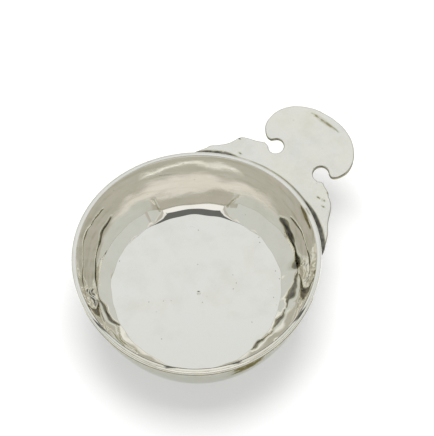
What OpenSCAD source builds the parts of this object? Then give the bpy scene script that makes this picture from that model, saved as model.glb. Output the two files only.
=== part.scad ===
// Wine taster: a raised silver bowl with a wired lip and a flat shaped thumbpiece soldered on below the lip.
// Z is up and X runs along the thumbpiece. The origin is on the bowl's axis, at the underside of the base.

/* [Bowl] */
// Diameter over the lip wire
lip_d = 88; // [76:1:100]
// Height of the lip above the underside of the base
lip_h = 27; // [22:0.2:30]
// Thickness of the raised sheet
sheet_t = 1.0; // [0.6:0.1:1.4]
// Outward lean of the wall at the lip, in degrees from upright
lip_lean = 4; // [2:1:8]
// Outward lean of the wall where it turns into the base, in degrees from upright
foot_lean = 26; // [21:1:30]
// Outside radius of the turn from the wall into the base
foot_r = 5.6; // [4:0.1:8]
// Diameter of the compass prick in the middle of the floor
prick_d = 0.8; // [0.4:0.1:1.2]
// Depth of the compass prick
prick_h = 0.3; // [0.1:0.05:0.5]

/* [Lip wire] */
// Diameter of the round wire that is soldered round the lip
wire_d = 1.6; // [1.2:0.1:2]
// How far the wire stands proud of the wall at the lip
wire_proud = 0.75; // [0.5:0.05:0.9]
// Width of the solder along the underside of the wire
bead_w = 0.55; // [0.45:0.05:0.6]
// Height of the solder along the wall below the wire
bead_h = 0.65; // [0.5:0.05:0.7]
// How far the solder bites into the wire
bead_bite = 0.1; // [0.05:0.05:0.15]

/* [Thumbpiece] */
// Thickness of the plate
plate_t = 1.2; // [0.8:0.1:1.8]
// Upward slope of the plate, away from the bowl, in degrees
plate_rise = 6; // [2:0.5:9]
// Space between the wire and the plate's top face, where the plate meets the wall
plate_gap = 0.9; // [0.8:0.1:1.4]
// Reach of the plate beyond the lip
plate_reach = 30.2; // [26:0.2:36]
// Width of the head, across its two lobes
head_w = 36; // [32:1:40]
// Radius of the lobes
lobe_r = 8; // [7:0.5:9]
// Distance from the lip to the centres of the lobes
lobe_reach = 18; // [16:0.5:20]
// Diameter of the two notches under the lobes
notch_d = 6; // [4:0.2:7]
// Distance from the lip to the centres of the notches
notch_reach = 9.7; // [8.5:0.1:11]
// Distance between the centres of the notches
notch_span = 20; // [17:0.5:23]
// Distance from the lip to the top of the shoulders
shoulder_reach = 9; // [8:0.1:10]
// Distance from the lip to the low corners between the shoulders and the ends of the root
waist_reach = 3.6; // [2.6:0.1:4.6]
// How far the ears beside the notches stand above the shoulders
ear_rise = 0.85; // [0.5:0.05:1.2]
// How far each shoulder's corner lies behind the centre of its notch
shoulder_set = 1.8; // [1:0.1:2.4]
// Half of the angle that the plate's root spans round the bowl
root_angle = 48; // [44:1:54]

/* [Thumbpiece solder] */
// Thickness of the solder between the plate's root and the wall
film_t = 0.1; // [0.05:0.05:0.2]
// How far the upper fillet stands out past the solder below the wire
fillet_w = 0.15; // [0.1:0.05:0.3]
// Radius of the upper fillet's hollow flank
fillet_r = 2.6; // [2.2:0.1:3.2]
// Width of the lower fillet along the plate
under_w = 0.8; // [0.5:0.1:1.2]
// Height of the lower fillet along the wall
under_h = 1.2; // [0.8:0.1:1.6]

/* [Hidden] */
$fn = 180;
// Facets of the wall's large circle, of which only a short arc is used
wall_fn = 720;
// Overshoot of a cutting shape past what it cuts
over = 1;
silver = [0.86, 0.86, 0.83];
solder = [0.74, 0.73, 0.68];

// Wall section: a large arc from the lip, tangent to the small arc that turns into the flat base.
lip_r = lip_d / 2;
wall_top_r = lip_r - wire_proud;
wall_r = (lip_h - foot_r * (1 - sin(foot_lean))) / (sin(foot_lean) - sin(lip_lean));
base_r = wall_top_r - wall_r * (cos(lip_lean) - cos(foot_lean)) - foot_r * cos(foot_lean);
wall_cx = base_r - (wall_r - foot_r) * cos(foot_lean);
wall_cz = foot_r + (wall_r - foot_r) * sin(foot_lean);

// Radius of the wall's outside at a height above its turn into the base
function wall_x(z) = wall_cx + sqrt(wall_r ^ 2 - (z - wall_cz) ^ 2);

// Lowest point where the wire touches the wall, along the wall's slope down from the lip
wire_r = wire_d / 2;
wire_in = wire_r - wire_proud;
wire_foot = wire_in * sin(lip_lean) + wire_r * cos(lip_lean);
wire_run = wire_foot + sqrt(wire_foot ^ 2 - wire_in ^ 2);
seam_z = lip_h - wire_run * cos(lip_lean);

// Outer corner of the solder below the wire
bead_x = wall_x(seam_z) + bead_w;
bead_z = lip_h - wire_r - sqrt(wire_r ^ 2 - (bead_x - lip_r + wire_r) ^ 2) + bead_bite;

// Line about which the plate is tilted: where its top face meets the wall
root_z = lip_h - wire_d - plate_gap;
root_x = wall_x(root_z);

// Head of the plate: the arc through the tip that runs smoothly into both lobes
tip_x = lip_r + plate_reach;
lobe_x = lip_r + lobe_reach;
lobe_y = head_w / 2 - lobe_r;
lobe_back = tip_x - lobe_x;
head_r = (lobe_back ^ 2 + lobe_y ^ 2 - lobe_r ^ 2) / (2 * (lobe_back - lobe_r));
head_cx = tip_x - head_r;
lobe_dir = atan2(lobe_y, lobe_x - head_cx);
notch_x = lip_r + notch_reach;
notch_y = notch_span / 2;

// Shoulder of the plate, from the root to the notch, as [angle round the bowl, distance from the lip]
shoulder_root = [root_angle, root_x - lip_r];
shoulder_top = [20.5, shoulder_reach];
shoulder_low = waist_reach + (shoulder_reach - waist_reach) / 8;
shoulder_rise = [[36, waist_reach], [29, shoulder_low], [26, shoulder_reach], shoulder_top];
ear_top = shoulder_reach + ear_rise;
shoulder_ear = [shoulder_top, [18.8, ear_top], [16.5, shoulder_reach], [14.7, ear_top]];
shoulder_steps = 10;

// Point of a cubic curve through four control points
function curve(p, t) =
  (1 - t) ^ 3 * p[0] + 3 * t * (1 - t) ^ 2 * p[1] + 3 * t ^ 2 * (1 - t) * p[2] + t ^ 3 * p[3];

// Plan point at an angle round the bowl and a distance from its lip
function by_lip(p) = (lip_r + p[1]) * [cos(p[0]), sin(p[0])];

// Point as far past the second point as the first is before it
function past(first, second) = 2 * second - first;

function flipped(points) = [for (i = [len(points) - 1:-1:0]) [points[i][0], -points[i][1]]];

// Half section of everything inside the bowl's outer skin, or inside a skin set in from it
module bowl_section(inset, top) {
  turn_z = foot_r - (foot_r - inset) * sin(foot_lean);
  translate([0, inset]) square([base_r, top - inset]);
  intersection() {
    translate([base_r, foot_r]) circle(foot_r - inset);
    translate([0, inset]) square([lip_r, foot_r]);
  }
  intersection() {
    translate([wall_cx, wall_cz]) circle(wall_r - inset, $fn = wall_fn);
    translate([0, turn_z]) square([lip_r, top - turn_z]);
  }
}

module wire_circle() {
  translate([lip_r - wire_r, lip_h - wire_r]) circle(wire_r);
}

// Solder in the corner below the wire, drawn on into the wall
module bead_section() {
  foot_z = seam_z - bead_h;
  outer = [bead_x, bead_z];
  inner = past(outer, [wall_x(foot_z), foot_z]);
  polygon([outer, inner, [inner[0], bead_z]]);
}

// Places a shape drawn in plan on the sloping top face of the plate
module on_plate() {
  translate([root_x, 0, root_z]) rotate([0, -plate_rise, 0]) translate([-root_x, 0, 0]) children();
}

module head_outline() {
  intersection() {
    translate([head_cx, 0]) circle(head_r);
    polygon([
      [head_cx, 0],
      [head_cx, 0] + 2 * head_r * [cos(lobe_dir), sin(lobe_dir)],
      [head_cx, 0] + 2 * head_r * [cos(lobe_dir), -sin(lobe_dir)]
    ]);
  }
  for (side = [-1, 1])
    translate([lobe_x, side * lobe_y]) circle(lobe_r);
}

module shoulder_outline() {
  edge = [
    by_lip(shoulder_root),
    for (i = [0:shoulder_steps]) by_lip(curve(shoulder_rise, i / shoulder_steps)),
    for (i = [1:shoulder_steps]) by_lip(curve(shoulder_ear, i / shoulder_steps)),
    [notch_x - shoulder_set, notch_y],
    [lobe_x, notch_y]
  ];
  polygon([[0, 0], each edge, each flipped(edge)]);
}

// The plate's root and shoulders, between two levels measured from the plate's top face
module shoulder_prism(low, high) {
  on_plate() translate([0, 0, low]) linear_extrude(high - low) shoulder_outline();
}

module bowl() {
  color(silver) difference() {
    rotate_extrude() difference() {
      bowl_section(0, lip_h);
      bowl_section(sheet_t, lip_h + over);
    }
    translate([0, 0, sheet_t - prick_h]) cylinder(h = 2 * prick_h, d1 = 0, d2 = 2 * prick_d);
  }
}

module lip_wire() {
  color(silver) rotate_extrude() difference() {
    wire_circle();
    bead_section();
    bowl_section(0, lip_h + over);
  }
}

module lip_solder() {
  color(solder) rotate_extrude() difference() {
    bead_section();
    bowl_section(0, lip_h + over);
  }
}

module thumb_plate() {
  color(silver) difference() {
    union() {
      shoulder_prism(-plate_t, 0);
      on_plate() translate([0, 0, -plate_t]) linear_extrude(plate_t) head_outline();
    }
    on_plate() for (side = [-1, 1])
      translate([notch_x, side * notch_y, -plate_t - over]) cylinder(h = plate_t + 2 * over, d = notch_d);
    rotate_extrude() bowl_section(-film_t, lip_h + over);
  }
}

// Solder above the plate: a hollow flank that spreads out below the wire
module upper_section() {
  flank_x = bead_x + fillet_w;
  difference() {
    translate([base_r, 0]) square([flank_x + fillet_r - base_r, bead_z]);
    translate([flank_x + fillet_r, bead_z]) circle(fillet_r);
    wire_circle();
    bead_section();
    bowl_section(0, lip_h + over);
  }
}

// Solder below the plate: a straight flank from the plate down to the wall, drawn on into both
module lower_section() {
  under_z = root_z - plate_t;
  foot_z = under_z - under_h;
  outer = [wall_x(under_z) + under_w, under_z];
  inner = past(outer, [wall_x(foot_z), foot_z]);
  difference() {
    polygon([[outer[0], root_z], outer, inner, [inner[0], root_z]]);
    bowl_section(0, lip_h + over);
  }
}

module film_section() {
  difference() {
    bowl_section(-film_t, lip_h);
    bowl_section(0, lip_h + over);
  }
}

module plate_solder() {
  color(solder) union() {
    intersection() {
      rotate_extrude() upper_section();
      shoulder_prism(0, lip_h);
    }
    intersection() {
      rotate_extrude() film_section();
      shoulder_prism(-plate_t - film_t, film_t);
    }
    intersection() {
      rotate_extrude() lower_section();
      shoulder_prism(-plate_t - lip_h, -plate_t);
    }
  }
}

bowl();
lip_wire();
lip_solder();
thumb_plate();
plate_solder();
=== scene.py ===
"""Looks of a hand-raised silver wine taster: bowl, lip wire, thumbpiece and their solder."""
import math

import bpy
import numpy as np
from mathutils import Matrix, Vector, geometry


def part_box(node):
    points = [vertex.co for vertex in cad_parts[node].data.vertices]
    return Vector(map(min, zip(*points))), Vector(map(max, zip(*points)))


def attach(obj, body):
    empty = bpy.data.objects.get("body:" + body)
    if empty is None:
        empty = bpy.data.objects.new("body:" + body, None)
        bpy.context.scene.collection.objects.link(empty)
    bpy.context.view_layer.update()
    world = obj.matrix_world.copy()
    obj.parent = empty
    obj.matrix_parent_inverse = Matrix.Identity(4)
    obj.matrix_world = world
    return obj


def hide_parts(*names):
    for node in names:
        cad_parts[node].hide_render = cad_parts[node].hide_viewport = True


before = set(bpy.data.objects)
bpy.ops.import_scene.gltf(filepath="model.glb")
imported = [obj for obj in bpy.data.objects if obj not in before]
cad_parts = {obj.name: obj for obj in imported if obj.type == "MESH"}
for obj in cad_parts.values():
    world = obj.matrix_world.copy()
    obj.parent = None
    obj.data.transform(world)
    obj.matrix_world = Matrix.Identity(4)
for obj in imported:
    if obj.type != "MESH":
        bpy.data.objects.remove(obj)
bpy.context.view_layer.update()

# All shapes are worked out in millimetres and become metres when a piece is made.
MM = 0.001

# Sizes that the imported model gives
LIP_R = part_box("lip_wire")[1].x / MM
LIP_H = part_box("bowl")[1].z / MM
TIP_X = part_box("thumb_plate")[1].x / MM

# Bowl: the outside section is a large arc for the wall and a small one for the turn into the base
SHEET_T = 1.0
LIP_LEAN = math.radians(4)
FOOT_LEAN = math.radians(26)
FOOT_R = 5.6
PRICK_R = 0.45
PRICK_H = 0.3
EDGE_R = 0.25
SHARP_W = 0.03

# Bowl inside: a nearly straight wall, a corner, a sloping heel, a turn, and a floor that is dished at its
# edge and wavers a little round it. The heel is steepest towards one side, where a flatter facet was
# hammered into it between two creases. The wall is steepest on that side and opposite.
INSIDE_R = 300
CORNER_R = 0.25
STEEP_SIDE = math.radians(44.3)
WALL_LEANS = (math.radians(11.7), math.radians(13.4))
HEEL_LEANS = (math.radians(43.2), math.radians(59.4))
HEEL_SPREAD = math.radians(2.5)
TURN_R = 0.6
FACET_LEANS = (math.radians(50), math.radians(63.5))
FACET_TURN_R = 4.8
FACET_HALF = math.radians(27)
CREASE_W = math.radians(8)
DISH_LEAN = math.radians(85)
DISH_RISE = 0.24
FLOOR_R = 30.95
FLOOR_OVAL = 0.45
FLOOR_SHIFT = (1.18, 0.7)
FLOOR_WAVER = 0.12
FLOOR_WAVES = (9, 14, 23)

# Points along the bowl's sections, and turns round its axis
BASE_STEPS = 14
FOOT_STEPS = 16
WALL_STEPS = 44
EDGE_STEPS = 7
INSIDE_STEPS = 80
CORNER_STEPS = 10
HEEL_STEPS = 14
FLOOR_STEPS = 60
PRICK_STEPS = 7
BOWL_TURNS = 600
RING_TURNS = 400

# Lip wire and its solder, whose hollow face is drawn between its sides and its corner by their shares
WIRE_R = 0.8
WIRE_PROUD = 0.75
WIRE_SQUARE = 3.2
WIRE_STEPS = 30
SEAT_STEPS = 8
BEAD_W = 0.55
BEAD_H = 0.65
BEAD_STEPS = 8
BEAD_WIRE_STEPS = 6
BEAD_WALL_STEPS = 5
BEAD_SIDES = 0.35
BEAD_CORNER = 0.3

# Thumbpiece, and the gaps between the points of its mesh: along its edge, in from it, and over the rest
PLATE_T = 1.2
PLATE_RISE = math.radians(6)
PLATE_GAP = 0.9
ROOT_ANGLE = math.radians(48)
ROOT_STEPS = 90
ROOT_ROUNDS = 6
SHOULDER_STEPS = 6
LOBE_STEPS = 8
LEFT_NOTCH_STEPS = 40
RIGHT_NOTCH_STEPS = 36
TOP_ROUND = 0.32
UNDER_ROUND = 0.2
OUTLINE_GAP = 0.3
PLATE_INSETS = (0.08, 0.18, 0.32, 0.5, 0.9, 1.4, 2.0, 2.6, 3.2)
PLATE_GRID = 0.55
INSET_SLACK = 0.97
MERGE_GAP = 1e-5

# Waves that flattening by hammer left in the plate, and the slight bow of its head
PLATE_WAVE_H = 0.012
WAVE_ALONG = (0.55, 0.2)
WAVE_ACROSS = (0.47, 0.8)
BOW = 0.0009
BOW_FROM = 14

# Solder at the plate's root: hollow fillets above and below it, sunk a little into what they join
FILLET_W = 0.75
FILLET_RISE = 0.8
FILLET_SWELL = 0.25
FILLET_WAVES = 9
FILLET_PHASE = 1
UNDER_W = 0.8
UNDER_H = 1.2
FILLET_REACH = 0.985
FILLET_TURNS = 121
FILLET_STEPS = 7
FILLET_CORNER = 0.7
FILLET_SIDES = 0.15
CORNER_BITE = 0.05
UNDER_BITE = 0.25
WALL_BITE = 0.02
PLATE_BITE = 0.01

# Hand work: the lip dips, and it is out of round in three lobes, which fade out along the plate and towards
# the floor
LOBE_H = 0.4
LOBES = 3
LOBE_INSET = 0.42
LOBE_PEAK = math.radians(-16)
LOBE_FROM = 22
LOBE_FADE = 8
PLATE_FADE = 14
LIP_DIP = 0.12
DIP_PHASE = 1.0

# The lip is lower opposite the steep side, and its rim is beaten down outwards there
LOW_DIP = 1.0
RIM_TILT = 0.62
RIM_WIDTH = 1.75
RIM_DEPTH = 3.0
RIM_START = 1.5

# Waves that hammering left in the bowl, wide, middling and fine. Each has its lengths, its slope, and how
# far its crests may turn from running round the bowl. They fade out at the lip, and mostly on the floor.
HAMMER_WAVES = (
    ((34, 27, 21), 0.0026, 0.9),
    ((12, 9.5, 7.6), 0.0018, 0.9),
    ((6.1, 5.2, 4.4, 3.8, 3.2, 2.7), 0.0004, 1.4),
)
OUTSIDE_SEED = 11
INSIDE_SEED = 23
FLOOR_SHARE = 0.06
FLOOR_FADE = 5
LIP_FADE = 2
MIDDLE_R = 1
MIDDLE_FADE = 4

# Marks in the bowl's skin, as degrees round from the thumbpiece and millimetres down from the lip:
# folds left by the raising, with their width and how dark they are, partly tarnish in the folds and partly
# painted dark reflection
FOLDS = (
    (((94, 13), (99, 14.2), (104, 15), (109, 17), (114, 17.6), (119, 18.4), (126, 20)), 0.7, 0.8),
    (((126, 20), (129, 21), (132, 22.3), (137, 24.2), (141, 25.3), (151, 26.2), (155, 27.8)), 0.7, 0.8),
    # This wide dark band along a fold is a painted reflection of something dark
    (((-11, 17.6), (-16, 18.7), (-21, 19.7), (-29, 21.2), (-35, 22.3)), 2.1, 0.84),
    (((-35, 22.3), (-41, 23.7), (-51, 26), (-63, 27), (-71, 27.2), (-84, 28.4), (-100, 28.6)), 0.4, 0.8),
    (((-41, 24), (-47, 25.2), (-55, 26.2)), 0.9, 0.8),
    (((149, 5), (138, 6.6), (129, 7.5), (121, 5.6), (114, 4.5), (104, 5.5), (96, 6.8)), 0.4, 0.66),
    (((-16, 11.4), (-24, 11), (-31, 10.6), (-39, 10), (-46, 10), (-51, 10.2)), 0.55, 0.74),
    (((-20, 1.2), (-31, 1.8)), 1.4, 0.56),
    (((155, 27), (165, 26), (180, 26.5), (195, 27.5)), 0.35, 0.5),
    (((158, 24.6), (170, 25), (185, 25.4)), 0.3, 0.5),
    (((66.3, 18.5), (65.2, 22), (64.5, 24)), 0.35, 0.45),
    (((18.5, 19), (22, 22), (24, 24)), 0.4, 0.45),
)

# Folds waver and swell along their length, by waves with a seed, lengths, a slope and a turn
FOLD_INSET = 6
FOLD_H = 0.12
FOLD_STEEPNESS = 3
FOLD_WAVER = (41, (11, 7.5, 5.2), 0.16, 1.5)
FOLD_SWELL = (43, (14, 9, 6), 0.25, 1.5)
SWELL_RANGE = (-0.4, 0.7)

# Tarnish and painted shade are given together as a film from 0 to 1. On the bowl's outside it is partly tarnish
# and partly painted shade, with more painted shade low down and one olive patch that is a painted reflection.
OUTER_TARNISH_AND_SHADE = 0.27
LOW_SHADE_FILM = 0.12
LOW_SHADE_Z = 14
LOW_SHADE_FADE = 10
OLIVE_REFLECTION_FILM = 0.23
OLIVE_REFLECTION_AT = math.radians(-114)
OLIVE_REFLECTION_HALF = math.radians(10)
OLIVE_REFLECTION_Z = 20
OLIVE_REFLECTION_SLANT = 2
OLIVE_REFLECTION_H = 5
BASE_FILM = 0.38

# Tarnish on the bowl's inside: streaks round the wall, mottling at its sides, a film under the lip and on
# the low side of the floor; and painted shade in thin lines along the two edges of the rim where it is beaten
# down
INNER_FILM = 0.02
INNER_MOST = 0.3
STREAKS = (47, (1.3, 1.7, 2.3, 3.1, 4.2), 0.08, 0.25)
MOTTLING = (53, (2.2, 2.9, 3.7, 5.1, 6.3), 0.1, 1.5)
WALL_FILM_Z = 5
WALL_FILM_FADE = 4
WALL_FILM_FROM = -0.2
LIP_FILM = 0.08
LIP_FILM_W = 4
FLOOR_FILM = 0.06
PRICK_FILM = 0.6
EDGE_SHADE_LINE = 0.72
EDGE_SHADE_RUN = (-0.22, 0.3)
SEAM_SHADE_LINE = 0.48
SEAM_SHADE_RUN = -0.9
LOW_RIM_GAIN = 2.5
LOW_RIM_START = 0.3

# Painted shade on the wire, on its lower half and along its outermost line, and tarnish on the solder under it
WIRE_SHADE_FILM = 0.6
WIRE_SHADE_LINE_W = 0.1
BEAD_FILM = 0.75

# Darkening on the thumbpiece: painted shade in the corner at its root, which reaches further out in two patches
# given by their angle, half width and reach, painted shade along its edges, a painted reflection in one streak
# near the tip, and tarnish in nicks
ROOT_SHADE_FILM = 0.85
ROOT_SHADE_REACH = 1.5
ROOT_SHADE_FADE = 0.7
ROOT_SHADE_PATCHES = ((-31, 12, 0.85), (33, 10, 1.25))
PLATE_EDGE_SHADE = 0.7
PLATE_EDGE_FULL = 1.2
PLATE_EDGE_W = 0.3
TIP_REFLECTION_FILM = 0.5
TIP_REFLECTION_AT = (71.2, 1.0)
TIP_REFLECTION_HALF = 7.2
TIP_REFLECTION_W = (0.2, 0.6)
TIP_REFLECTION_GAIN = 4
NICK_FILM = 0.85
NICK_HALF = (0.35, 0.8)
PLATE_NICKS = ((50.2, -17.8), (46.9, -16.1), (47.1, -18.2), (45.2, -19.6), (47.6, 21.2), (43.4, 17.2))
UNDER_FILM = 0.3

# Camera: where the photograph was taken from, and its frame
FRAME_W = 434
FRAME_H = 436
CAMERA_AZIMUTH = math.radians(-45.7)
CAMERA_ELEVATION = math.radians(61.3)
CAMERA_ROLL = math.radians(3.6)
CAMERA_DISTANCE = 900
FOCAL_PX = 2590
LIP_CENTRE_PX = (196.5, 258.0)
SENSOR_MM = 36
CLIP_START = 10

# Silver: a cool and a warm tint for each kind, and how they darken as the film of tarnish and painted shade
# grows, from none through yellow to grey
BOWL_TINTS = ((0.94, 0.94, 0.915, 1), (0.95, 0.94, 0.905, 1))
WIRE_TINTS = ((0.94, 0.94, 0.915, 1), (0.95, 0.94, 0.9, 1))
PLATE_TINTS = ((0.94, 0.94, 0.92, 1), (0.955, 0.938, 0.87, 1))
SOLDER_TINTS = ((0.85, 0.84, 0.79, 1), (0.82, 0.8, 0.72, 1))
CLEAN = (1, 1, 1, 1)
BLACKENED = (0.07, 0.068, 0.06, 1)
TARNISH_AND_SHADE_STOPS = (
    (0.4, (0.78, 0.785, 0.71, 1)),
    (0.47, (0.46, 0.43, 0.29, 1)),
    (0.56, (0.38, 0.355, 0.24, 1)),
    (0.62, (0.34, 0.33, 0.3, 1)),
    (0.85, (0.12, 0.118, 0.11, 1)),
)

# Noise in the silver, as features to the millimetre along each axis, and then its detail, roughness and turn
# where they aren't the usual ones. Each has the range of noise that is used, and what it becomes.
TINT_NOISE = ((0.07,) * 3,)
TINT_RANGE = (0.35, 0.65)
FILM_NOISE = ((0.35, 0.35, 0.8), 4.0, 0.6)
FILM_RANGE = (0.3, 0.7, 0.8, 1.15)
CLOUD_NOISE = ((0.12,) * 3, 5.0, 0.6)
CLOUD_RANGE = (0.45, 0.75)
PIT_RANGE = (0.03, 0.07, 1.0, 0.0)
PIT_PATCH_NOISE = ((0.11,) * 3, 2.0)
PIT_PATCH_RANGE = (0.48, 0.52)
PIT_TINT = (0.3, 0.28, 0.24, 1)
PIT_TINT_SHARE = 0.5
SCRATCHES = ((0.25, 7.0, 1.5), 3.0, 0.6, 0.5)
CROSS_SCRATCHES = ((6.0, 0.2, 1.5), 3.0, 0.6, -0.3)
WEAR_RANGE = (0.15, 0.4)
DENT_NOISE = ((0.5,) * 3, 2.0)

# Bumps of scratches, dents and pits, as a depth in millimetres and a strength
SCRATCH_BUMP = (0.02, 0.08)
DENT_BUMP = (0.05, 0.06)
PIT_BUMP = (0.08, 0.6)

# Table top and light, in metres. The top lies a hair below the base, so that the two don't share a plane.
WHITE = (1, 1, 1, 1)
TABLE_HALF = 1.5
TABLE_Z = -0.1 * MM
PAPER = (0.92, 0.92, 0.92, 1)
GLOW_SHARE = 0.45
FILL = (0.3, 0.3, 0.3, 1)
LAMP_AT = (0.02, 0.25, 0.8)
LAMP_SIZE = 0.6
LAMP_WATTS = 9

WALL_R = (LIP_H - FOOT_R * (1 - math.sin(FOOT_LEAN))) / (math.sin(FOOT_LEAN) - math.sin(LIP_LEAN))
WALL_TOP_R = LIP_R - WIRE_PROUD
BASE_R = WALL_TOP_R - WALL_R * (math.cos(LIP_LEAN) - math.cos(FOOT_LEAN)) - FOOT_R * math.cos(FOOT_LEAN)
WALL_CX = BASE_R - (WALL_R - FOOT_R) * math.cos(FOOT_LEAN)
WALL_CZ = FOOT_R + (WALL_R - FOOT_R) * math.sin(FOOT_LEAN)


def wall_x(z):
    """Radius of the wall's outside at a height above its turn into the base."""
    return WALL_CX + np.sqrt(WALL_R ** 2 - (z - WALL_CZ) ** 2)


ROOT_Z = LIP_H - 2 * WIRE_R - PLATE_GAP
ROOT_X = float(wall_x(ROOT_Z))
WIRE_CX = LIP_R - WIRE_R
WIRE_CZ = LIP_H - WIRE_R


def hand_shape(points):
    """Moves points as the bowl's hand-made wall is out of round, its lip dips and its rim is beaten down."""
    x, y, z = points.T
    radius = np.hypot(x, y)
    angle = np.arctan2(y, x)
    plate_share = np.clip(1 - (radius - LIP_R) / PLATE_FADE, 0, 1)
    wall_share = np.clip((radius - LOBE_FROM) / LOBE_FADE, 0, 1)
    move = wall_share * plate_share * (LOBE_H * np.cos(LOBES * (angle - LOBE_PEAK)) - LOBE_INSET)
    rise = np.clip(z / LIP_H, 0, 1) ** 2
    dip = rise * plate_share * LIP_DIP * (1 - np.cos(2 * angle + DIP_PHASE)) / 2
    low_side = np.clip(-np.cos(angle - STEEP_SIDE), 0, 1) ** 2
    dip += LOW_DIP * low_side * rise
    at_rim = np.clip((z - LIP_H) / RIM_DEPTH + RIM_START, 0, 1)
    dip += RIM_TILT * low_side * at_rim * np.clip(radius - LIP_R + RIM_WIDTH, 0, RIM_WIDTH)
    grown = 1 + move / np.maximum(radius, 1e-6)
    return np.column_stack([x * grown, y * grown, z - dip])


def make_piece(name, points, faces, node, material, film=None):
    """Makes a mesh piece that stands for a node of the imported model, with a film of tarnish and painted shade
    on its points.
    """
    mesh = bpy.data.meshes.new(name)
    mesh.from_pydata((hand_shape(np.asarray(points, float)) * MM).tolist(), [], faces)
    mesh.update()
    mesh.shade_smooth()
    if film is not None:
        mesh.attributes.new("film", "FLOAT", "POINT").data.foreach_set("value", np.clip(film, 0, 1))
    mesh.materials.append(material)
    piece = bpy.data.objects.new(name, mesh)
    bpy.context.scene.collection.objects.link(piece)
    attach(piece, "root")
    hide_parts(node)
    return piece


def arc(centre, radius, start, stop, steps):
    """Section points of an arc, by the angle that its outward normal dips below the horizon."""
    angles = np.linspace(start, stop, steps)
    return np.column_stack([centre[0] + radius * np.cos(angles), centre[1] - radius * np.sin(angles)])


def outer_section():
    """The bowl's outside, from the middle of the base to the lip."""
    radii = np.linspace(0, BASE_R, BASE_STEPS)[:-1]
    base = np.column_stack([radii, np.zeros(len(radii))])
    foot = arc((BASE_R, FOOT_R), FOOT_R, math.pi / 2, FOOT_LEAN, FOOT_STEPS)
    wall = arc((WALL_CX, WALL_CZ), WALL_R, FOOT_LEAN, LIP_LEAN, WALL_STEPS)
    return np.vstack([base, foot[:-1], wall])


def lean_way(lean):
    """Outward direction across a section where it leans so far."""
    return np.array([math.cos(lean), -math.sin(lean)])


def next_centre(centre, radius, next_radius, lean):
    """Centre of the arc that carries a section on smoothly from an arc, from where that one leans so far."""
    return centre + (radius - next_radius) * lean_way(lean)


def heel_radius(start, turn, wall):
    """Radius that carries a section from one point smoothly to the corner that runs into the wall's arc."""
    reach = INSIDE_R - CORNER_R
    from_wall = start - wall
    half = from_wall @ turn
    square = turn @ turn
    return (-half + math.sqrt(half ** 2 - square * (from_wall @ from_wall - reach ** 2))) / square


def lip_edge(top):
    """The rounded edge of the sheet along the lip, down to the top of the inside."""
    turns = np.linspace(math.pi / 2, math.pi, EDGE_STEPS)
    edge = top + EDGE_R * np.column_stack([1 + np.cos(turns), np.sin(turns)])
    return np.vstack([[WALL_TOP_R - SHARP_W, LIP_H], edge])


def floor_section(floor_r):
    """The floor, dished at its edge, and the prick in its middle."""
    dish_w = 2 * DISH_RISE * math.tan(DISH_LEAN)
    radii = np.linspace(floor_r, PRICK_R, FLOOR_STEPS)[1:]
    dish = np.clip((radii - floor_r) / dish_w + 1, 0, 1)
    floor = np.column_stack([radii, SHEET_T + DISH_RISE * dish ** 2])
    prick_r = np.linspace(PRICK_R, 0, PRICK_STEPS)[1:]
    prick = np.column_stack([prick_r, SHEET_T - PRICK_H * (1 - (prick_r / PRICK_R) ** 2)])
    return np.vstack([floor, prick])


def inner_section(wall_lean, heel_leans, turn_r, floor_r):
    """The bowl's inside, from the rounded edge of the lip to the prick in the middle of the floor."""
    corner_lean, heel_lean = heel_leans
    top = np.array([WALL_TOP_R - SHEET_T, LIP_H - EDGE_R])
    centre = top - INSIDE_R * lean_way(wall_lean)
    floor_edge = np.array([floor_r, SHEET_T + DISH_RISE])
    turn_centre = next_centre(floor_edge, 0, turn_r, DISH_LEAN)
    start = turn_centre + turn_r * lean_way(heel_lean) - CORNER_R * lean_way(corner_lean)
    heel_r = heel_radius(start, lean_way(corner_lean) - lean_way(heel_lean), centre)
    heel_centre = next_centre(turn_centre, turn_r, heel_r, heel_lean)
    corner_centre = next_centre(heel_centre, heel_r, CORNER_R, corner_lean)
    foot_lean = math.asin((centre[1] - corner_centre[1]) / (INSIDE_R - CORNER_R))
    wall = arc(centre, INSIDE_R, wall_lean, foot_lean, INSIDE_STEPS)
    corner = arc(corner_centre, CORNER_R, foot_lean, corner_lean, CORNER_STEPS)
    heel = arc(heel_centre, heel_r, corner_lean, heel_lean, HEEL_STEPS)
    turn = arc(turn_centre, turn_r, heel_lean, DISH_LEAN, HEEL_STEPS)
    return np.vstack([lip_edge(top)[:-1], wall, corner[1:], heel[1:], turn[1:], floor_section(floor_r)])


def blend(low, high, share):
    """A value between two others."""
    return low + (high - low) * share


def inside_at(angle):
    """The inside's section at an angle round from the thumbpiece."""
    from_steep = (angle - STEEP_SIDE + math.pi) % (2 * math.pi) - math.pi
    away = math.cos(from_steep)
    wall_lean = blend(WALL_LEANS[1], WALL_LEANS[0], away ** 2)
    floor_r = FLOOR_R + FLOOR_OVAL * math.cos(2 * from_steep)
    floor_r += FLOOR_SHIFT[0] * away + FLOOR_SHIFT[1] * math.sin(from_steep)
    floor_r += FLOOR_WAVER * sum(math.cos(count * angle + count ** 2) for count in FLOOR_WAVES)
    lean = blend(HEEL_LEANS[0], HEEL_LEANS[1], min(1 - away, 1))
    plain = inner_section(wall_lean, (lean - HEEL_SPREAD, lean + HEEL_SPREAD), TURN_R, floor_r)
    share = min(max((FACET_HALF - abs(from_steep)) / CREASE_W, 0), 1)
    if share == 0:
        return plain
    return blend(plain, inner_section(wall_lean, FACET_LEANS, FACET_TURN_R, floor_r), share)


def section_normals(sections):
    """Unit normals of open sections, pointing to the left of their direction."""
    along = np.gradient(sections, axis=1)
    along /= np.linalg.norm(along, axis=2)[:, :, None]
    return np.stack([-along[:, :, 1], along[:, :, 0]], axis=2)


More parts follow.
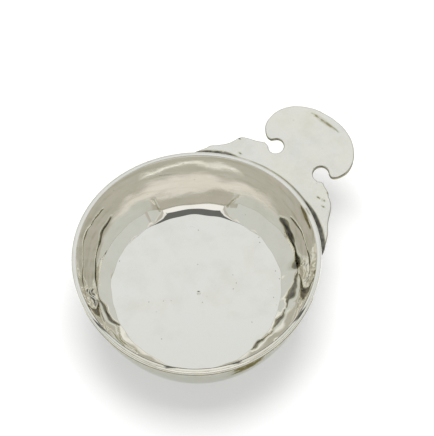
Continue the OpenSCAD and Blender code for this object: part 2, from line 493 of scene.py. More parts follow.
def ripples(angle, run, seed, lengths, slope, across):
    """Waves of the given lengths and slope, each turned at random from running along the section."""
    draw = np.random.RandomState(seed)
    height = np.zeros(np.broadcast(angle, run).shape)
    for length in lengths:
        turn = draw.uniform(-across, across)
        round_count = round(LIP_R * 2 * math.pi / length * math.sin(turn))
        phase = draw.uniform(0, 2 * math.pi)
        wave = np.cos(round_count * angle + 2 * math.pi / length * math.cos(turn) * run + phase)
        height = height + slope * length / (2 * math.pi) * wave
    return height


def revolve(sections, angles):
    """Grid of points of sections turned about the bowl's axis, one to each angle or one for all."""
    radius = sections[:, :, 0]
    return np.stack([
        radius * np.cos(angles)[:, None],
        radius * np.sin(angles)[:, None],
        np.broadcast_to(sections[:, :, 1], (len(angles), sections.shape[1])),
    ], axis=2)


def ring_faces(turns, count, closed):
    """Quads of a grid of turns by section points, wrapped round the axis."""
    faces = []
    for i in range(turns):
        for j in range(count if closed else count - 1):
            here, there = i * count, (i + 1) % turns * count
            k = (j + 1) % count
            faces.append((here + j, there + j, there + k, here + k))
    return faces


def pole_faces(turns, count, index, pole, flip):
    """Triangles that close a grid's end ring on a pole."""
    faces = []
    for i in range(turns):
        pair = (i * count + index, (i + 1) % turns * count + index)
        faces.append((pole, *pair) if flip else (pole, *reversed(pair)))
    return faces


def section_run(section):
    """Distance of each section point along the section from its start."""
    return np.concatenate([[0], np.cumsum(np.linalg.norm(np.diff(section, axis=0), axis=1))])


def fold_depth(angles, run):
    """How deep in a fold, and how dark with tarnish and painted reflection, each point of the wall's inside is,
    from 0 to 1.
    """
    around = LIP_R - FOLD_INSET
    x = angles[:, None] * around
    run = run[None, :] + ripples(angles[:, None], run[None, :], *FOLD_WAVER)
    thick = 1 + np.clip(ripples(angles[:, None], run, *FOLD_SWELL), *SWELL_RANGE)
    depth = np.zeros((len(angles), run.shape[1]))
    dark = np.zeros_like(depth)
    for line, width, tone in FOLDS:
        points = [(math.radians(degrees) * around, down) for degrees, down in line]
        for (x0, y0), (x1, y1) in zip(points, points[1:]):
            length = math.hypot(x1 - x0, y1 - y0)
            t = np.clip(((x - x0) * (x1 - x0) + (run - y0) * (y1 - y0)) / length ** 2, 0, 1)
            away = np.hypot(x - x0 - t * (x1 - x0), run - y0 - t * (y1 - y0))
            near = np.exp(-(away / width / thick) ** FOLD_STEEPNESS)
            depth = np.maximum(depth, near)
            dark = np.maximum(dark, tone * near)
    return depth, dark


def hammering(section, angles, seed, floor_share):
    """Height of the waves that hammering left in the skin of a section turned about the axis."""
    run = section_run(section)[None, :]
    height = 0
    for step, waves in enumerate(HAMMER_WAVES):
        height = height + ripples(angles[:, None], run, seed + step, *waves)
    radius, z = section.T
    rise = np.clip((z - SHEET_T) / FLOOR_FADE, 0, 1) * np.clip((LIP_H - z) / LIP_FADE, 0, 1)
    share = (floor_share + (1 - floor_share) * rise) * np.clip((radius - MIDDLE_R) / MIDDLE_FADE, 0, 1)
    return height * share[None, :]


def push(sections, angles, height):
    """Sections turned about the axis and moved along their normals."""
    return revolve(sections + height[:, :, None] * section_normals(sections), angles)


def outer_film(section, angles):
    """Tarnish and painted shade on the bowl's outside, with more painted shade low down and a painted olive
    reflection.
    """
    z = section[None, :, 1]
    # Painted reflection: an olive patch on the outside of the wall
    across = (angles[:, None] - OLIVE_REFLECTION_AT) / OLIVE_REFLECTION_HALF
    olive_reflection = np.exp(-across ** 4 - ((z - OLIVE_REFLECTION_Z - OLIVE_REFLECTION_SLANT * across) / OLIVE_REFLECTION_H) ** 4)
    # Painted shade, darker towards the base
    low = LOW_SHADE_FILM * np.clip((LOW_SHADE_Z - z) / LOW_SHADE_FADE, 0, 1)
    return OUTER_TARNISH_AND_SHADE + low + OLIVE_REFLECTION_FILM * olive_reflection


def low_rim(angle):
    """1 along the low side of the lip, fading to 0 towards the other side."""
    return np.clip(LOW_RIM_GAIN * -np.cos(angle - STEEP_SIDE) - LOW_RIM_START, 0, 1)


def wall_film(section, angles):
    """Tarnish on the bowl's inside, on the wall, the lip and the floor, and painted shade in lines along the
    low rim.
    """
    run = section_run(section)[None, :] - SHEET_T
    angle = angles[:, None]
    radius, z = section[None, :, 0], section[None, :, 1]
    side = np.sin(angle - STEEP_SIDE) ** 2
    streaks = ripples(angle, run, *STREAKS) + side * ripples(angle, run, *MOTTLING)
    wall = np.clip((z - WALL_FILM_Z) / WALL_FILM_FADE, 0, 1) * (run > WALL_FILM_FROM)
    lip = LIP_FILM * np.clip(1 - run / LIP_FILM_W, 0, 1)
    low_side = -np.cos(angle - STEEP_SIDE)
    floor = FLOOR_FILM * np.clip(low_side * radius / FLOOR_R, 0, 1) * (run > run[0, -1] - FLOOR_R)
    film = np.clip(INNER_FILM + lip + streaks, 0, INNER_MOST) * wall + floor
    # Painted shade: thin dark lines along the lip's rounded inner edge and along its top by the wire, on the
    # low side
    at_edge = (run > EDGE_SHADE_RUN[0]) & (run < EDGE_SHADE_RUN[1])
    shade_lines = np.where(at_edge, EDGE_SHADE_LINE, np.where(run < SEAM_SHADE_RUN, SEAM_SHADE_LINE, 0))
    return np.maximum(film, low_rim(angle) * shade_lines)


def raised_bowl(material):
    """The bowl: one closed shell of raised sheet."""
    angles = np.linspace(-math.pi, math.pi, BOWL_TURNS, endpoint=False)
    outside = outer_section()[None, 1:]
    inside = np.stack([inside_at(angle)[:-1] for angle in angles])
    plain = inside_at(STEEP_SIDE + math.pi / 2)[:-1]
    depth, dark = fold_depth(angles, section_run(plain) - SHEET_T)
    outer_grid = push(outside, angles, hammering(outside[0], angles, OUTSIDE_SEED, 0.0))
    inner_grid = push(inside, angles, hammering(plain, angles, INSIDE_SEED, FLOOR_SHARE) - FOLD_H * depth)
    film = np.maximum(dark, wall_film(plain, angles))
    film = np.concatenate([outer_film(outside[0], angles), film], axis=1)
    grid = np.concatenate([outer_grid, inner_grid], axis=1)
    count = grid.shape[1]
    poles = np.array([[0, 0, 0], [0, 0, SHEET_T - PRICK_H]])
    points = np.vstack([grid.reshape(-1, 3), poles])
    faces = ring_faces(BOWL_TURNS, count, closed=False)
    faces += pole_faces(BOWL_TURNS, count, 0, BOWL_TURNS * count, flip=False)
    faces += pole_faces(BOWL_TURNS, count, count - 1, BOWL_TURNS * count + 1, flip=True)
    film = np.concatenate([film.ravel(), [BASE_FILM, PRICK_FILM]])
    return make_piece("raised_bowl", points, faces, "bowl", material, film)


def wire_point(angle):
    """Section point of the wire's surface, round below and beaten flatter on top."""
    across, up = np.cos(angle), np.sin(angle)
    square = (np.abs(across) ** WIRE_SQUARE + np.abs(up) ** WIRE_SQUARE) ** (-1 / WIRE_SQUARE)
    reach = WIRE_R * np.where(up > 0, square, 1.0)
    return np.column_stack([WIRE_CX + reach * across, WIRE_CZ + reach * up])


def wire_seam():
    """Angle round the wire, and height, at which its lower side touches the wall."""
    inset = WIRE_R - WIRE_PROUD
    reach = inset * math.sin(LIP_LEAN) + WIRE_R * math.cos(LIP_LEAN)
    seam_z = LIP_H - (reach + math.sqrt(reach ** 2 - inset ** 2)) * math.cos(LIP_LEAN)
    return -math.pi / 2 - math.asin((float(wall_x(seam_z)) - WIRE_CX) / -WIRE_R), seam_z


def swept_ring(section):
    """A closed section turned about the axis."""
    angles = np.linspace(0, 2 * math.pi, RING_TURNS, endpoint=False)
    points = revolve(section[None], angles).reshape(-1, 3)
    return points, ring_faces(RING_TURNS, len(section), closed=True)


def rim_wire(material):
    """The round wire along the lip, cut to seat on the wall, with painted shade on its lower half and in a dark
    line along its low side.
    """
    seam, seam_z = wire_seam()
    top = math.acos((WIRE_R - WIRE_PROUD) / WIRE_R)
    round_side = wire_point(np.append(np.linspace(seam, top - SHARP_W, WIRE_STEPS), top))
    heights = np.append(LIP_H - SHARP_W, np.linspace(LIP_H, seam_z, SEAT_STEPS)[1:-1])
    flat_side = np.column_stack([wall_x(heights), heights])
    points, faces = swept_ring(np.vstack([round_side, flat_side])[::-1])
    x, y, z = points.T
    # Painted shade: darker below the wire's middle, and a dark line along its outermost edge on the low side
    film = WIRE_SHADE_FILM * np.clip((WIRE_CZ - z) / WIRE_R, 0, 1)
    outermost = np.hypot(x, y) > LIP_R - WIRE_SHADE_LINE_W
    film = np.maximum(film, WIRE_SHADE_FILM * low_rim(np.arctan2(y, x)) * outermost)
    return make_piece("rim_wire", points, faces, "lip_wire", material, film)


def hollow_curve(start, middle, stop, steps):
    """Points of a curve from one point to another, drawn towards a point between them."""
    t = np.linspace(0, 1, steps)[:, None]
    return (1 - t) ** 2 * start + 2 * t * (1 - t) * middle + t ** 2 * stop


def rim_solder(material):
    """The hollow bead of solder in the corner below the wire."""
    seam, seam_z = wire_seam()
    bead_x = float(wall_x(seam_z)) + BEAD_W
    outer = math.asin((bead_x - WIRE_CX) / WIRE_R) - math.pi / 2
    on_wire = wire_point(np.linspace(outer, seam, BEAD_WIRE_STEPS))
    foot_z = seam_z - BEAD_H
    heights = np.linspace(seam_z, foot_z, BEAD_WALL_STEPS)[1:]
    on_wall = np.column_stack([wall_x(heights), heights])
    middle = BEAD_SIDES * on_wire[0] + BEAD_SIDES * on_wall[-1] + BEAD_CORNER * on_wire[-1]
    hollow = hollow_curve(on_wall[-1], middle, on_wire[0], BEAD_STEPS)[1:-1]
    points, faces = swept_ring(np.vstack([on_wire, on_wall, hollow])[::-1])
    film = np.full(len(points), BEAD_FILM)
    return make_piece("rim_solder", points, faces, "lip_solder", material, film)


def spline(points, steps):
    """Smooth curve through points, carried on straight at its two ends."""
    points = np.asarray(points, float)
    padded = np.vstack([2 * points[0] - points[1], points, 2 * points[-1] - points[-2]])
    t = np.linspace(0, 1, steps, endpoint=False)[:, None]
    pieces = []
    for a, b, c, d in zip(padded, padded[1:], padded[2:], padded[3:]):
        pieces.append(0.5 * (2 * b + (c - a) * t + (2 * a - 5 * b + 4 * c - d) * t ** 2
                             + (3 * b - a - 3 * c + d) * t ** 3))
    return np.vstack(pieces + [points[-1:]])


def plan_arc(centre, radius, start, stop, steps):
    """Plan points of an arc between two angles in degrees."""
    angles = np.radians(np.linspace(start, stop, steps))
    return np.column_stack([centre[0] + radius * np.cos(angles), centre[1] + radius * np.sin(angles)])


def plate_height(x):
    """Height of the plate's top face above a plan point, before its edges are rounded."""
    return ROOT_Z + math.tan(PLATE_RISE) * (x - ROOT_X)


def root_point(angle):
    """Plan point where the plate's top face meets the wall."""
    radius = LIP_R
    for _ in range(ROOT_ROUNDS):
        radius = wall_x(plate_height(radius * np.cos(angle)))
    return np.column_stack([radius * np.cos(angle), radius * np.sin(angle)])


def plate_outline():
    """Plan outline of the thumbpiece, cut by hand, so that its two sides differ a little."""
    root = root_point(np.linspace(-ROOT_ANGLE, ROOT_ANGLE, ROOT_STEPS))
    left_shoulder = spline([
        root[-1], (33.4, 31.0), (37.6, 28.6), (39.3, 27.9), (41.3, 25.7), (44.2, 23.1),
        (47.7, 21.6), (48.9, 20.5), (49.8, 18.4), (50.7, 15.8), (51.5, 14.1), (52.0, 12.9),
    ], SHOULDER_STEPS)
    left_notch = plan_arc((53.2, 8.8), 2.75, 126, 408, LEFT_NOTCH_STEPS)
    left_lobe = spline([
        (54.6, 11.2), (54.0, 12.0), (54.1, 13.7), (55.2, 15.5), (57.4, 17.3), (60.6, 18.0),
        (64.6, 17.4), (68.6, 14.9), (71.4, 11.2), (73.3, 6.6), (TIP_X, 0.6),
    ], LOBE_STEPS)
    right_lobe = spline([
        (TIP_X, 0.6), (73.7, -5.0), (71.6, -10.6), (68.3, -14.6), (64.6, -17.0), (60.9, -17.8),
        (57.7, -16.9), (56.2, -15.8), (55.7, -14.6), (56.0, -13.6),
    ], LOBE_STEPS)
    right_notch = plan_arc((54.5, -10.8), 2.85, -52, 188, RIGHT_NOTCH_STEPS)
    right_shoulder = spline([
        (51.4, -11.6), (52.2, -12.9), (52.2, -13.8), (51.5, -15.1), (50.6, -17.4), (49.4, -18.6),
        (48.7, -19.9), (46.6, -22.1), (42.9, -24.2), (40.9, -25.5), (38.0, -27.9), (35.2, -29.5),
        (32.4, -31.0), root[0],
    ], SHOULDER_STEPS)
    left_side = [left_shoulder, left_notch, left_lobe[:-1]]
    right_side = [right_lobe, right_notch, right_shoulder[:-1]]
    return even_spacing(np.vstack(left_side + right_side + [root[:-1]]), OUTLINE_GAP)


def even_spacing(loop, gap):
    """A closed loop's points, set at even distances along it."""
    closed = np.vstack([loop, loop[:1]])
    run = np.concatenate([[0], np.cumsum(np.linalg.norm(np.diff(closed, axis=0), axis=1))])
    places = np.linspace(0, run[-1], int(run[-1] / gap), endpoint=False)
    return np.column_stack([np.interp(places, run, closed[:, i]) for i in range(2)])


def distance_to(points, loop):
    """Distance of each point from a closed loop."""
    start, along = loop, np.roll(loop, -1, axis=0) - loop
    best = np.full(len(points), np.inf)
    for p, d in zip(start, along):
        t = np.clip((points - p) @ d / (d @ d), 0, 1)
        best = np.minimum(best, np.linalg.norm(points - p - t[:, None] * d, axis=1))
    return best


def filled(loop, insets, grid_gap):
    """Triangles that fill a loop, on points set in from it and on an inner grid. Gives their depths too."""
    ahead = np.roll(loop, -1, axis=0) - np.roll(loop, 1, axis=0)
    inward = np.column_stack([-ahead[:, 1], ahead[:, 0]]) / np.linalg.norm(ahead, axis=1)[:, None]
    area = np.sum(loop[:, 0] * np.roll(loop[:, 1], -1) - loop[:, 1] * np.roll(loop[:, 0], -1))
    rings = [loop + inward * inset * np.sign(area) for inset in insets]
    low, high = loop.min(axis=0), loop.max(axis=0)
    x, y = np.meshgrid(np.arange(low[0], high[0], grid_gap), np.arange(low[1], high[1], grid_gap))
    inner = np.vstack(rings + [np.column_stack([x.ravel(), y.ravel()])])
    needed = np.concatenate([np.full(len(loop), inset * INSET_SLACK) for inset in insets]
                            + [np.full(x.size, insets[-1] + grid_gap / 2)])
    inner = inner[distance_to(inner, loop) >= needed]
    points = np.vstack([loop, inner])
    edges = [(i, (i + 1) % len(loop)) for i in range(len(loop))]
    made = geometry.delaunay_2d_cdt([Vector(p) for p in points], edges, [], 1, MERGE_GAP)
    points = np.array([tuple(p) for p in made[0]])
    return points, [tuple(f) for f in made[2]], distance_to(points, loop)


def rounding(depth, radius):
    """How far an edge of the given radius falls away at a depth inside it."""
    inside = np.clip(radius - depth, 0, radius)
    return radius - np.sqrt(radius ** 2 - inside ** 2)


def thumbpiece(material):
    """The flat plate of the thumbpiece, with rounded edges and the slight waves of flattening by hammer."""
    loop = plate_outline()
    points, triangles, depth = filled(loop, PLATE_INSETS, PLATE_GRID)
    x, y = points.T
    waves = np.cos(WAVE_ALONG[0] * x + WAVE_ALONG[1] * y)
    waves = PLATE_WAVE_H * waves * np.cos(WAVE_ACROSS[0] * y + WAVE_ACROSS[1])
    bow = -BOW * np.clip(x - LIP_R - BOW_FROM, 0, None) ** 2
    top = plate_height(x) + waves + bow
    upper = np.column_stack([points, top - rounding(depth, TOP_ROUND)])
    lower = np.column_stack([points, top - PLATE_T + rounding(depth, UNDER_ROUND)])
    count = len(points)
    faces = list(triangles)
    faces += [tuple(i + count for i in reversed(f)) for f in triangles]
    for i, j in outline_edges(triangles):
        faces.append((j, i, i + count, j + count))
    film = np.concatenate([plate_film(points, depth), np.full(count, UNDER_FILM)])
    solid = np.vstack([upper, lower])
    return make_piece("thumbpiece", solid, faces, "thumb_plate", material, film)


def plate_film(points, depth):
    """Darkening on the plate: painted shade at its root and along its edges, a painted reflection in a streak
    near the tip, and tarnish in nicks.
    """
    x, y = points.T
    angle = np.degrees(np.arctan2(y, x))
    # Painted shade in the corner at the plate's root, reaching further out in two patches
    reach = ROOT_SHADE_REACH
    for middle, half, more in ROOT_SHADE_PATCHES:
        reach = reach + more * np.exp(-((angle - middle) / half) ** 4)
    corner = ROOT_SHADE_FILM * np.clip((reach - (np.hypot(x, y) - LIP_R)) / ROOT_SHADE_FADE, 0, 1)
    # Painted shade along the plate's rounded edges
    edge = PLATE_EDGE_SHADE * np.clip(PLATE_EDGE_FULL - depth / PLATE_EDGE_W, 0, 1)
    # Painted reflection: a tan streak near the tip
    spindle = np.clip(1 - ((y - TIP_REFLECTION_AT[1]) / TIP_REFLECTION_HALF) ** 2, 0, 1)
    tip_reflection = np.exp(-((x - TIP_REFLECTION_AT[0]) / (TIP_REFLECTION_W[0] + TIP_REFLECTION_W[1] * spindle)) ** 4)
    tip_reflection = TIP_REFLECTION_FILM * tip_reflection * np.minimum(TIP_REFLECTION_GAIN * spindle, 1)
    film = np.maximum(np.maximum(corner, edge), tip_reflection)
    for nick_x, nick_y in PLATE_NICKS:
        near = np.exp(-((x - nick_x) / NICK_HALF[0]) ** 2 - ((y - nick_y) / NICK_HALF[1]) ** 2)
        film = np.maximum(film, NICK_FILM * near)
    return film


def outline_edges(triangles):
    """Directed edges that only one triangle has."""
    seen = {}
    for f in triangles:
        for i, j in zip(f, f[1:] + f[:1]):
            if (j, i) in seen:
                del seen[(j, i)]
            else:
                seen[(i, j)] = True
    return list(seen)


def fillet_sweep(sections):
    """A run of closed sections joined into one solid, with its two ends closed."""
    count = len(sections[0])
    faces = []
    for i in range(len(sections) - 1):
        for j in range(count):
            k = (j + 1) % count
            faces.append((i * count + j, i * count + k, (i + 1) * count + k, (i + 1) * count + j))
    last = (len(sections) - 1) * count
    faces.append(tuple(reversed(range(count))))
    faces.append(tuple(last + j for j in range(count)))
    return np.vstack(sections), faces


def fillet_section(angle, corner, along_wall, along_plate):
    """Section of solder in a corner, with a hollow face, turned to its place round the bowl."""
    middle = FILLET_CORNER * corner + FILLET_SIDES * (along_wall + along_plate)
    flat = np.vstack([corner[None, :], hollow_curve(along_wall, middle, along_plate, FILLET_STEPS)])
    return np.column_stack([flat[:, 0] * math.cos(angle), flat[:, 0] * math.sin(angle), flat[:, 1]])


def seat_on_wall(z):
    """Section point just inside the wall's outer face."""
    return np.array([float(wall_x(z)) - WALL_BITE, z])


def root_fillets(angle):
    """Sections of the solder above and below the plate, at an angle round the bowl."""
    rise = math.tan(PLATE_RISE) * math.cos(angle)
    start = root_point(np.array([angle]))[0]
    radius = math.hypot(*start)
    z = plate_height(start[0])
    width = FILLET_W * (1 + FILLET_SWELL * math.sin(FILLET_WAVES * angle + FILLET_PHASE))
    corner = np.array([radius - CORNER_BITE, z])
    on_plate = np.array([radius + width, z + rise * width - PLATE_BITE])
    upper = fillet_section(angle, corner, seat_on_wall(z + FILLET_RISE * width), on_plate)
    corner = np.array([radius - UNDER_BITE, z - PLATE_T])
    on_plate = np.array([radius + UNDER_W, z - PLATE_T + rise * UNDER_W])
    lower = fillet_section(angle, corner, seat_on_wall(z - PLATE_T - UNDER_H), on_plate)
    return upper, lower[::-1]


def thumbpiece_solder(material):
    """The solder above and below the plate's root."""
    angles = np.linspace(-ROOT_ANGLE, ROOT_ANGLE, FILLET_TURNS) * FILLET_REACH
    upper, lower = zip(*[root_fillets(angle) for angle in angles])
    points, faces = fillet_sweep(upper)
    more_points, more_faces = fillet_sweep(lower)
    faces += [tuple(i + len(points) for i in f) for f in more_faces]
    points = np.vstack([points, more_points])
    return make_piece("thumbpiece_solder", points, faces, "plate_solder", material)


def node(tree, kind, inputs=(), **settings):
    """Adds a node, with settings on it and values or links on its inputs."""
    made = tree.nodes.new(kind)
    for name, value in settings.items():
        setattr(made, name, value)
    for name, value in dict(inputs).items():
        if isinstance(value, bpy.types.NodeSocket):
            tree.links.new(value, made.inputs[name])
        else:
            made.inputs[name].default_value = value
    return made


def millimetres(tree, scale, turn=0.0):
    """Object coordinates in millimetres, stretched and turned."""
    place = node(tree, "ShaderNodeTexCoord").outputs["Object"]
    stretch = tuple(s / MM for s in scale)
    mapped = node(tree, "ShaderNodeMapping", {"Vector": place, "Scale": stretch, "Rotation": (0, 0, turn)})
    return mapped.outputs["Vector"]


def noise(tree, scale, detail=3.0, rough=0.5, turn=0.0):
    """Noise whose features are about one over scale millimetres."""
    where = millimetres(tree, scale, turn)
    inputs = {"Vector": where, "Scale": 1.0, "Detail": detail, "Roughness": rough}
    return node(tree, "ShaderNodeTexNoise", inputs).outputs["Fac"]


def remap(tree, value, low, high, to_low=0.0, to_high=1.0):
    """Maps a range of values to another, clamped."""
    made = node(tree, "ShaderNodeMapRange", {
        "Value": value, "From Min": low, "From Max": high, "To Min": to_low, "To Max": to_high})
    return made.outputs["Result"]


def mix(tree, factor, first, second):
    """Mixes two colours by a factor."""
    made = node(tree, "ShaderNodeMix", data_type="RGBA")
    for index, value in ((0, factor), (6, first), (7, second)):
        if isinstance(value, bpy.types.NodeSocket):
            tree.links.new(value, made.inputs[index])
        else:
            made.inputs[index].default_value = value
    return made.outputs[2]


def times(tree, first, second):
    """Product of two values."""
    return node(tree, "ShaderNodeMath", {0: first, 1: second}, operation="MULTIPLY").outputs[0]


def greater(tree, first, second):
    """The greater of two values."""
    return node(tree, "ShaderNodeMath", {0: first, 1: second}, operation="MAXIMUM").outputs[0]


def bumped(tree, height, distance, strength, normal=None):
    """Normal bent by a height, on top of another normal if one is given."""
    inputs = {"Height": height, "Distance": distance * MM, "Strength": strength}
    if normal is not None:
        inputs["Normal"] = normal
    return node(tree, "ShaderNodeBump", inputs).outputs["Normal"]


def multiply(tree, first, second):
    """Product of two colours."""
    made = node(tree, "ShaderNodeMix", data_type="RGBA", blend_type="MULTIPLY")
    made.inputs[0].default_value = 1.0
    tree.links.new(first, made.inputs[6])
    tree.links.new(second, made.inputs[7])
    return made.outputs[2]


def tarnish_and_shade(tree, even):
    """Tint of the tarnish and painted shade: the film on the piece's points, uneven, and a thin even film of
    tarnish in cloudy patches.
    """
    drawn = node(tree, "ShaderNodeAttribute", attribute_name="film").outputs["Fac"]
    uneven = times(tree, drawn, remap(tree, noise(tree, *FILM_NOISE), *FILM_RANGE))
    cloud = remap(tree, noise(tree, *CLOUD_NOISE), *CLOUD_RANGE, 0.0, even)
    ramp = node(tree, "ShaderNodeValToRGB", {"Fac": greater(tree, uneven, cloud)})
    stops = ramp.color_ramp.elements
    stops[0].color = CLEAN
    stops[1].color = BLACKENED
    for place, tint in TARNISH_AND_SHADE_STOPS:
        stops.new(place).color = tint
    return ramp.outputs["Color"]


def silver(name, cool, warm, even, gloss, pits):
    """Old hand-polished silver: two tints, tarnish and painted shade, fine scratches, and pits of so many to
    the millimetre.
    """
    material = bpy.data.materials.new(name)
    material.use_nodes = True
    tree = material.node_tree
    shader = tree.nodes["Principled BSDF"]
    shader.inputs["Metallic"].default_value = 1.0
    tints = mix(tree, remap(tree, noise(tree, *TINT_NOISE), *TINT_RANGE), cool, warm)
    film = tarnish_and_shade(tree, even)
    tree.links.new(film, shader.inputs["Specular Tint"])
    filmed = multiply(tree, tints, film)
    spots = node(tree, "ShaderNodeTexVoronoi", {"Vector": millimetres(tree, (pits,) * 3), "Scale": 1.0})
    spot = remap(tree, spots.outputs["Distance"], *PIT_RANGE)
    sparse = remap(tree, noise(tree, *PIT_PATCH_NOISE), *PIT_PATCH_RANGE)
    pitted = times(tree, spot, sparse)
    colour = mix(tree, times(tree, pitted, PIT_TINT_SHARE), filmed, PIT_TINT)
    tree.links.new(colour, shader.inputs["Base Color"])
    wear = times(tree, noise(tree, *SCRATCHES), noise(tree, *CROSS_SCRATCHES))
    tree.links.new(remap(tree, wear, *WEAR_RANGE, *gloss), shader.inputs["Roughness"])
    grain = bumped(tree, wear, *SCRATCH_BUMP)
    dents = bumped(tree, noise(tree, *DENT_NOISE), *DENT_BUMP, grain)
    pit = bumped(tree, times(tree, pitted, -1.0), *PIT_BUMP, dents)
    tree.links.new(pit, shader.inputs["Normal"])
    return material


def view_axes():
    """The photograph's directions: to the right, away from the camera, and back to the camera."""
    right = Vector((math.cos(CAMERA_AZIMUTH), math.sin(CAMERA_AZIMUTH), 0))
    away = Vector((-math.sin(CAMERA_AZIMUTH), math.cos(CAMERA_AZIMUTH), 0))
    back = Vector((0, 0, math.sin(CAMERA_ELEVATION))) - away * math.cos(CAMERA_ELEVATION)
    return right, away, back


def place_camera():
    """The photograph's camera: its aim sets the lip's centre at its pixel, and its roll tilts the picture."""
    right, _, back = view_axes()
    up = back.cross(right)
    side = right * math.cos(CAMERA_ROLL) - up * math.sin(CAMERA_ROLL)
    top = right * math.sin(CAMERA_ROLL) + up * math.cos(CAMERA_ROLL)
    aside = (LIP_CENTRE_PX[0] - FRAME_W / 2) / FOCAL_PX
    above = (FRAME_H / 2 - LIP_CENTRE_PX[1]) / FOCAL_PX
    forward = (-back - side * aside - top * above).normalized()
    side = (side - forward * side.dot(forward)).normalized()
    top = side.cross(forward)
    data = bpy.data.cameras.new("camera")
    data.sensor_width = SENSOR_MM
    data.lens = FOCAL_PX * SENSOR_MM / max(FRAME_W, FRAME_H)
    data.clip_start = CLIP_START * MM
    camera = bpy.data.objects.new("camera", data)
    spot = (Vector((0, 0, LIP_H)) + back * CAMERA_DISTANCE) * MM
    turn = Matrix((side, top, -forward)).transposed()
    camera.matrix_world = Matrix.Translation(spot) @ turn.to_4x4()
    bpy.context.scene.collection.objects.link(camera)
    bpy.context.scene.camera = camera


def seen_rays(tree):
    """1 for rays from the camera, from reflections and through glass, and 0 for light on surfaces."""
    rays = node(tree, "ShaderNodeLightPath").outputs
    seen = greater(tree, rays["Is Camera Ray"], rays["Is Glossy Ray"])
    return greater(tree, seen, rays["Is Transmission Ray"])


def lay_floor():
    """A white table top that shows a soft shadow."""
    sides = ((-1, -1), (1, -1), (1, 1), (-1, 1))
    mesh = bpy.data.meshes.new("floor")
    mesh.from_pydata([(x * TABLE_HALF, y * TABLE_HALF, TABLE_Z) for x, y in sides], [], [(0, 1, 2, 3)])
    material = bpy.data.materials.new("white_paper")
    material.use_nodes = True
    tree = material.node_tree
    tree.nodes.remove(tree.nodes["Principled BSDF"])
    paper = node(tree, "ShaderNodeBsdfDiffuse", {"Color": PAPER})
    glow = node(tree, "ShaderNodeEmission", {"Color": WHITE, "Strength": 1.0})
    share = times(tree, seen_rays(tree), GLOW_SHARE)
    both = node(tree, "ShaderNodeMixShader", {0: share, 1: paper.outputs[0], 2: glow.outputs[0]})
    tree.links.new(both.outputs[0], tree.nodes["Material Output"].inputs["Surface"])
    mesh.materials.append(material)
    floor = bpy.data.objects.new("floor", mesh)
    bpy.context.scene.collection.objects.link(floor)


def toward(right_share, away_share, up_share):
    """A direction by its shares of the photograph's right and away directions and of up."""
    right, away, _ = view_axes()
    return right * right_share + away * away_share + Vector((0, 0, up_share))


def beyond(tree, direction, axis, edge, soft):
    """1 where a direction lies beyond an edge along an axis, fading to 0 over a softness before it."""
    inputs = {0: direction, 1: tuple(axis.normalized())}
    share = node(tree, "ShaderNodeVectorMath", inputs, operation="DOT_PRODUCT").outputs["Value"]
    return remap(tree, share, edge - soft, edge)


def panel(tree, direction, sides):
    """1 inside a panel of the studio, beyond all of its sides: each is an axis, an edge and a softness."""
    inside = beyond(tree, direction, *sides[0])
    for side in sides[1:]:
        inside = times(tree, inside, beyond(tree, direction, *side))
    return inside


def band(axis, low, high, soft):
    """Two sides of a panel, between two edges along one axis."""
    return ((axis, low, soft), (-axis, -high, soft))


def heading(degrees):
    """Level axis that a panel lies beyond if it is further round to the right than an angle from the back."""
    return toward(math.cos(math.radians(degrees)), -math.sin(math.radians(degrees)), 0)


def front_of(degrees, soft):
    """Two sides of a panel at the front, from an angle round from the back, on the right and on the left."""
    return ((heading(degrees), 0, soft), (-heading(-degrees), 0, soft))


def studio_panels():
    """Panels, edges and seams of the white tent round the table, each with its sides and its tone."""
    right = toward(1, 0, 0)
    away = toward(0, 1, 0)
    up = toward(0, 0, 1)
    top_up = toward(0, -0.06, 1)
    low_up = toward(0, -0.105, 1)
    front = ((-away, 0.35, 0.4),)
    low = ((-low_up, -0.5768, 0.004),)
    ceiling = ((away, -0.1, 0.06), (up, 0.78, 0.06))
    dark_patch = (*band(right, -0.27, 0.27, 0.02), *band(away, -0.46, 0.28, 0.02), (up, 0.5, 0.02))
    return (
        (ceiling, (0.76, 0.768, 0.75, 1)),
        ((*front, (-top_up, -0.5735, 0.004)), (0.79, 0.75, 0.685, 1)),
        ((*front, *band(top_up, 0.5745, 0.579, 0.003)), (0.66, 0.628, 0.57, 1)),
        ((*front, *band(top_up, 0.582, 0.72, 0.003)), (0.5, 0.478, 0.415, 1)),
        ((*front_of(148, 0.14), *band(top_up, 0.602, 0.6085, 0.0015)), (1.08, 1.06, 0.99, 1)),
        (low, (0.6, 0.605, 0.56, 1)),
        ((*low, *front_of(147, 0.05)), (0.49, 0.463, 0.4, 1)),
        (((away, 0.06, 0.08), *band(up, 0.55, 0.7, 0.01)), (0.48, 0.455, 0.395, 1)),
        ((*front_of(105, 0.05), *band(up, 0.8, 0.97, 0.02)), (0.8, 0.785, 0.74, 1)),
        ((*front_of(146, 0.02), *band(up, 0.64, 0.914, 0.02)), (0.9, 0.885, 0.84, 1)),
        (dark_patch, (0.14, 0.14, 0.132, 1)),
    )


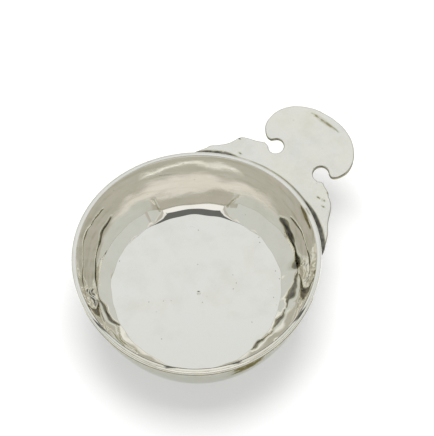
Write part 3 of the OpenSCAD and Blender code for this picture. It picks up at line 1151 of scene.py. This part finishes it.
def studio_colours(tree):
    """What the silver mirrors: the tent's walls, paler overhead, with its panels laid over them in turn."""
    direction = node(tree, "ShaderNodeTexCoord").outputs["Generated"]
    overhead = beyond(tree, direction, toward(0, 0, 1), 0.85, 0.3)
    colour = mix(tree, overhead, (0.472, 0.447, 0.386, 1), (0.56, 0.54, 0.49, 1))
    for sides, tone in studio_panels():
        colour = mix(tree, panel(tree, direction, sides), colour, tone)
    return colour


def backdrop(tree, colour):
    """Light from all round, in one colour or in a pattern of colours."""
    return node(tree, "ShaderNodeBackground", {"Color": colour, "Strength": 1.0}).outputs[0]


def light_studio():
    """A tent that reflections see, an even fill for the table, and white where the camera sees past it."""
    world = bpy.data.worlds.new("studio")
    bpy.context.scene.world = world
    world.use_nodes = True
    tree = world.node_tree
    rays = node(tree, "ShaderNodeLightPath").outputs
    mirrored = backdrop(tree, studio_colours(tree))
    fill = backdrop(tree, FILL)
    white = backdrop(tree, WHITE)
    lit = node(tree, "ShaderNodeMixShader", {0: rays["Is Glossy Ray"], 1: fill, 2: mirrored}).outputs[0]
    both = node(tree, "ShaderNodeMixShader", {0: rays["Is Camera Ray"], 1: lit, 2: white}).outputs[0]
    tree.links.new(both, tree.nodes["World Output"].inputs["Surface"])


def hang_softbox():
    """A soft lamp above and behind the taster, which casts the shadow and isn't mirrored."""
    softbox = bpy.data.lights.new("softbox", "AREA")
    softbox.size = LAMP_SIZE
    softbox.energy = LAMP_WATTS
    lamp = bpy.data.objects.new("softbox", softbox)
    spot = toward(*LAMP_AT)
    lamp.matrix_world = Matrix.Translation(spot) @ spot.to_track_quat("Z", "Y").to_matrix().to_4x4()
    lamp.visible_glossy = False
    bpy.context.scene.collection.objects.link(lamp)


def main():
    """Sets up the photograph's view and light, and makes the five pieces."""
    place_camera()
    lay_floor()
    light_studio()
    hang_softbox()
    raised_bowl(silver("raised_silver", *BOWL_TINTS, even=0.14, gloss=(0.015, 0.05), pits=0.3))
    rim_wire(silver("wire_silver", *WIRE_TINTS, even=0.24, gloss=(0.06, 0.14), pits=0.3))
    thumbpiece(silver("plate_silver", *PLATE_TINTS, even=0.16, gloss=(0.06, 0.16), pits=0.4))
    solder = silver("silver_solder", *SOLDER_TINTS, even=0.5, gloss=(0.15, 0.35), pits=0.6)
    rim_solder(solder)
    thumbpiece_solder(solder)


bpy.context.scene.view_settings.view_transform = "Standard"
main()
